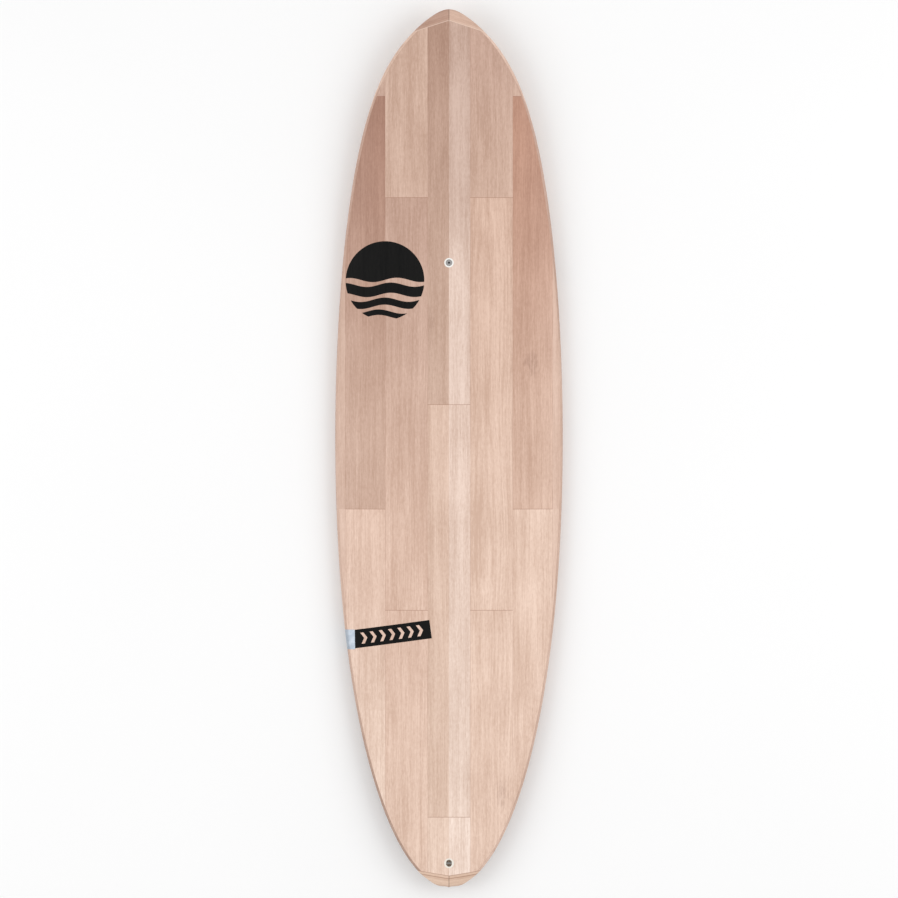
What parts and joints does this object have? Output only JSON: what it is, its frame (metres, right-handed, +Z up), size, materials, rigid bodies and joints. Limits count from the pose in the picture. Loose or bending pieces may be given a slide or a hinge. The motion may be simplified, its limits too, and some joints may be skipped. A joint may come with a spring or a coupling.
{
  "type": "surfboard",
  "caption": "Seven-foot timber sandwich surfboard with plank skins, laminated rails, mitred end blocks, slotted fin plugs, a leash cup and a screwed air vent.",
  "frame": {"origin": "under the middle of the board's bounding box, on the plane it rests on", "axes": "+Z up out of the deck, +Y to the nose, +X to the right-hand rail seen from above"},
  "size_m": [0.5554, 2.1336, 0.1008],
  "materials": {
    "deck_nose_wood": "satin, clear coated, fine straight grain along the board",
    "deck_tail_wood": "satin, clear coated, paler grain",
    "bottom_wood": "satin, clear coated, fine straight grain",
    "rail_wood": "satin, clear coated, pale",
    "block_wood": "satin, clear coated, laminated strips",
    "inlay_wood": "satin, clear coated, fine cross lines",
    "foam": "fine white bead foam",
    "plug_plastic": "black",
    "cup_plastic": "ivory",
    "vent_plastic": "white",
    "vent_metal": "dull grey",
    "screw_steel": "dull grey",
    "seal_rubber": "black"
  },
  "bodies": {
    "board": {"deck_plank_outer_left_nose": "deck_nose_wood", "deck_plank_outer_left_middle": "deck_nose_wood", "deck_plank_outer_left_tail": "deck_tail_wood", "deck_plank_inner_left_nose": "deck_nose_wood", "deck_plank_inner_left_middle": "deck_nose_wood", "deck_plank_inner_left_tail": "deck_tail_wood", "deck_plank_centre_nose": "deck_nose_wood", "deck_plank_centre_middle": "deck_nose_wood", "deck_plank_centre_tail": "deck_tail_wood", "deck_plank_inner_right_nose": "deck_nose_wood", "deck_plank_inner_right_middle": "deck_nose_wood", "deck_plank_inner_right_tail": "deck_tail_wood", "deck_plank_outer_right_nose": "deck_nose_wood", "deck_plank_outer_right_middle": "deck_nose_wood", "deck_plank_outer_right_tail": "deck_tail_wood", "bottom_plank_outer_left_nose": "bottom_wood", "bottom_plank_outer_left_middle": "bottom_wood", "bottom_plank_outer_left_tail": "bottom_wood", "bottom_plank_inner_left_nose": "bottom_wood", "bottom_plank_inner_left_middle": "bottom_wood", "bottom_plank_inner_left_tail": "bottom_wood", "bottom_plank_centre_nose": "bottom_wood", "bottom_plank_centre_middle": "bottom_wood", "bottom_plank_centre_tail": "bottom_wood", "bottom_plank_inner_right_nose": "bottom_wood", "bottom_plank_inner_right_middle": "bottom_wood", "bottom_plank_inner_right_tail": "bottom_wood", "bottom_plank_outer_right_nose": "bottom_wood", "bottom_plank_outer_right_middle": "bottom_wood", "bottom_plank_outer_right_tail": "bottom_wood", "rail_left_inner": "rail_wood", "rail_left_outer": "rail_wood", "rail_right_inner": "rail_wood", "rail_right_outer": "rail_wood", "nose_block_left": "block_wood", "nose_block_right": "block_wood", "tail_block_left": "block_wood", "tail_block_right": "block_wood", "fin_block_right": "inlay_wood", "fin_block_left": "inlay_wood", "fin_block_centre": "inlay_wood", "fin_plug_right_front": "plug_plastic", "fin_plug_right_rear": "plug_plastic", "fin_plug_left_front": "plug_plastic", "fin_plug_left_rear": "plug_plastic", "fin_plug_centre_front": "plug_plastic", "fin_plug_centre_rear": "plug_plastic", "foam_core": "foam", "leash_cup": "cup_plastic", "leash_pin": "screw_steel", "vent_housing": "vent_plastic"},
    "vent_seal": {"vent_seal": "seal_rubber"},
    "vent_screw": {"vent_screw": "vent_metal"},
    "grub_right_front": {"grub_screw_right_front": "screw_steel"},
    "grub_right_rear": {"grub_screw_right_rear": "screw_steel"},
    "grub_left_front": {"grub_screw_left_front": "screw_steel"},
    "grub_left_rear": {"grub_screw_left_rear": "screw_steel"},
    "grub_centre_front": {"grub_screw_centre_front": "screw_steel"},
    "grub_centre_rear": {"grub_screw_centre_rear": "screw_steel"}
  },
  "joints": [
    {"name": "vent_lift", "type": "slide", "parent": "board", "child": "vent_seal", "axis": [0, 0, 1], "range_m": [0, 0.009]},
    {"name": "vent_turn", "type": "hinge", "parent": "vent_seal", "child": "vent_screw", "pos_m": [0, 0.4527, 0.076], "axis": [0, 0, 1], "range_deg": [0, 2160]},
    {"name": "grub_right_front_clamp", "type": "slide", "parent": "board", "child": "grub_right_front", "axis": [0.6355, 0.0896, 0.7669], "range_m": [0, 0.003]},
    {"name": "grub_right_rear_clamp", "type": "slide", "parent": "board", "child": "grub_right_rear", "axis": [0.6355, 0.0896, 0.7669], "range_m": [0, 0.003]},
    {"name": "grub_left_front_clamp", "type": "slide", "parent": "board", "child": "grub_left_front", "axis": [-0.6355, 0.0896, 0.7669], "range_m": [0, 0.003]},
    {"name": "grub_left_rear_clamp", "type": "slide", "parent": "board", "child": "grub_left_rear", "axis": [-0.6355, 0.0896, 0.7669], "range_m": [0, 0.003]},
    {"name": "grub_centre_front_clamp", "type": "slide", "parent": "board", "child": "grub_centre_front", "axis": [0.7071, 0.0592, 0.7046], "range_m": [0, 0.003]},
    {"name": "grub_centre_rear_clamp", "type": "slide", "parent": "board", "child": "grub_centre_rear", "axis": [-0.7071, 0.0592, 0.7046], "range_m": [0, 0.003]}
  ],
  "couplings": [
    {"joint": "vent_turn", "follows": "vent_lift", "rad_per_m": 4188.8}
  ]
}
